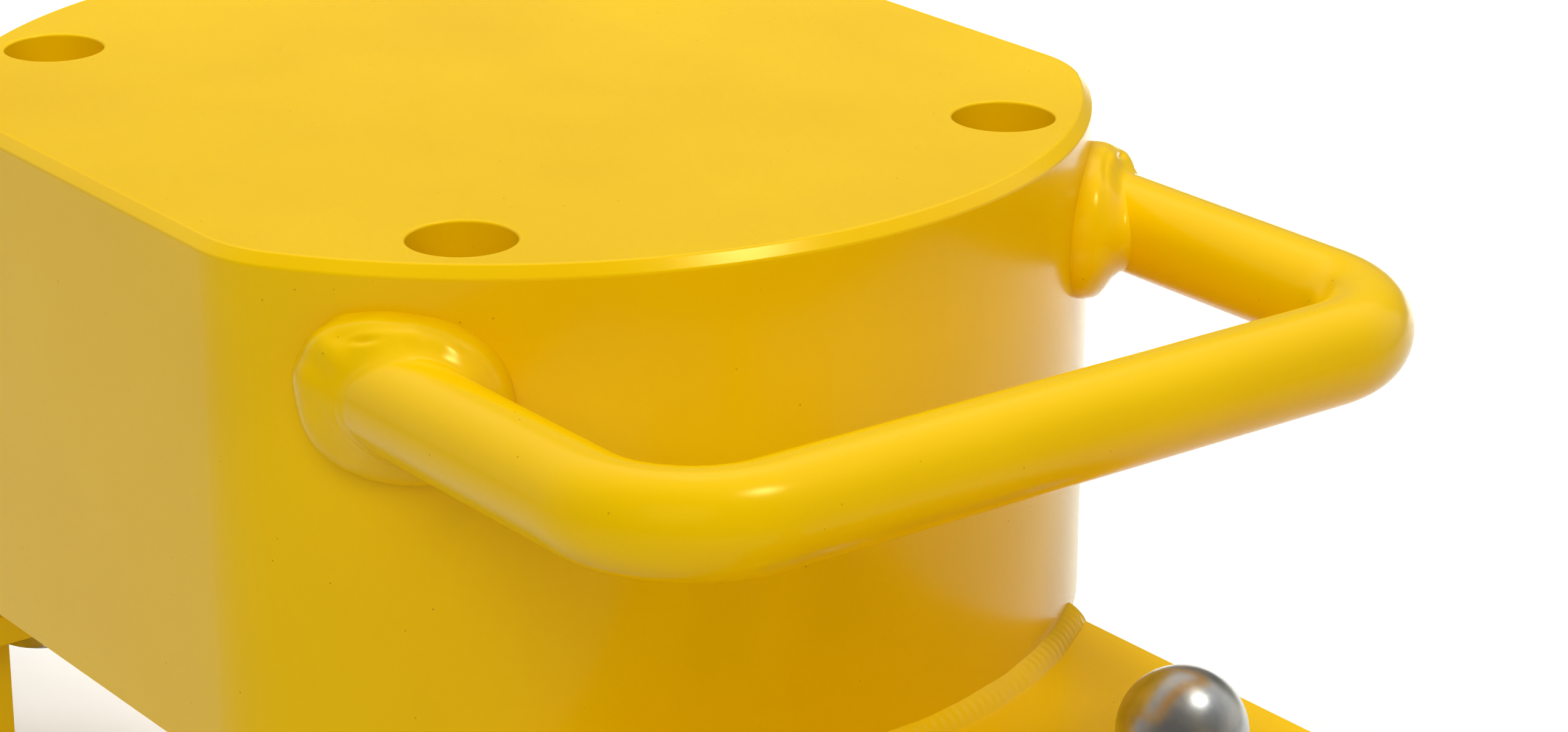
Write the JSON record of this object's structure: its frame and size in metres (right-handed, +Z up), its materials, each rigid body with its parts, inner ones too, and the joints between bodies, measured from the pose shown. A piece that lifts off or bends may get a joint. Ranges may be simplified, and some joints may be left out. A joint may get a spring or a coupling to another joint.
{
  "type": "spreader beam",
  "caption": "Compact lifting spreader beam: hollow section under a flange, central bolting drum with tubular steering handle, sling eyes and swinging load shackles at its ends.",
  "frame": {"origin": "on the drum's axis, at the floor that the rubber pads stand on", "axes": "+X along the beam towards the steering handle, +Z up, +Y across the beam"},
  "size_m": [1.036, 0.2908, 0.358],
  "materials": {
    "yellow_paint": "gloss",
    "zinc_plated_steel": "satin",
    "galvanised_steel": "matte",
    "bare_steel": "satin",
    "pad_rubber": "matte",
    "plate_aluminium": "satin"
  },
  "bodies": {
    "beam": {"top_plate": "yellow_paint", "drum_shell": "yellow_paint", "drum_base": "yellow_paint", "drum_rib_long": "yellow_paint", "drum_rib_near": "yellow_paint", "drum_rib_far": "yellow_paint", "drum_foot_weld": "yellow_paint", "handle_tube": "yellow_paint", "handle_weld_near": "yellow_paint", "handle_weld_far": "yellow_paint", "flange_plate": "yellow_paint", "box_beam": "yellow_paint", "end_lug_right": "yellow_paint", "end_lug_left": "yellow_paint", "sling_cheeks_right": "yellow_paint", "sling_cheeks_left": "yellow_paint", "load_cheeks_right": "yellow_paint", "load_cheeks_left": "yellow_paint", "end_caps_right": "yellow_paint", "end_caps_left": "yellow_paint", "flange_gussets_right": "yellow_paint", "flange_gussets_left": "yellow_paint", "leg_plate_right": "yellow_paint", "leg_plate_left": "yellow_paint", "leg_posts_right": "yellow_paint", "leg_posts_left": "yellow_paint", "leg_bolts_right": "zinc_plated_steel", "leg_bolts_left": "zinc_plated_steel", "leg_washers_right": "zinc_plated_steel", "leg_washers_left": "zinc_plated_steel", "domed_nuts_right": "zinc_plated_steel", "domed_nuts_left": "zinc_plated_steel", "bolt_sleeves_right": "bare_steel", "bolt_sleeves_left": "bare_steel", "foot_pads_right": "pad_rubber", "foot_pads_left": "pad_rubber", "rating_plate": "plate_aluminium", "rating_rivets": "plate_aluminium"},
    "shackle_right": {"shackle_bow_right": "galvanised_steel", "shackle_bolt_right": "galvanised_steel", "shackle_nut_right": "galvanised_steel", "split_pin_right": "bare_steel"},
    "shackle_left": {"shackle_bow_left": "galvanised_steel", "shackle_bolt_left": "galvanised_steel", "shackle_nut_left": "galvanised_steel", "split_pin_left": "bare_steel"}
  },
  "joints": [
    {"name": "shackle_swing_right", "type": "hinge", "parent": "beam", "child": "shackle_right", "pos_m": [0.48, 0, 0.11], "axis": [0, 1, 0], "range_deg": [-146, 97]},
    {"name": "shackle_swing_left", "type": "hinge", "parent": "beam", "child": "shackle_left", "pos_m": [-0.48, 0, 0.11], "axis": [0, 1, 0], "range_deg": [-97, 146]}
  ]
}
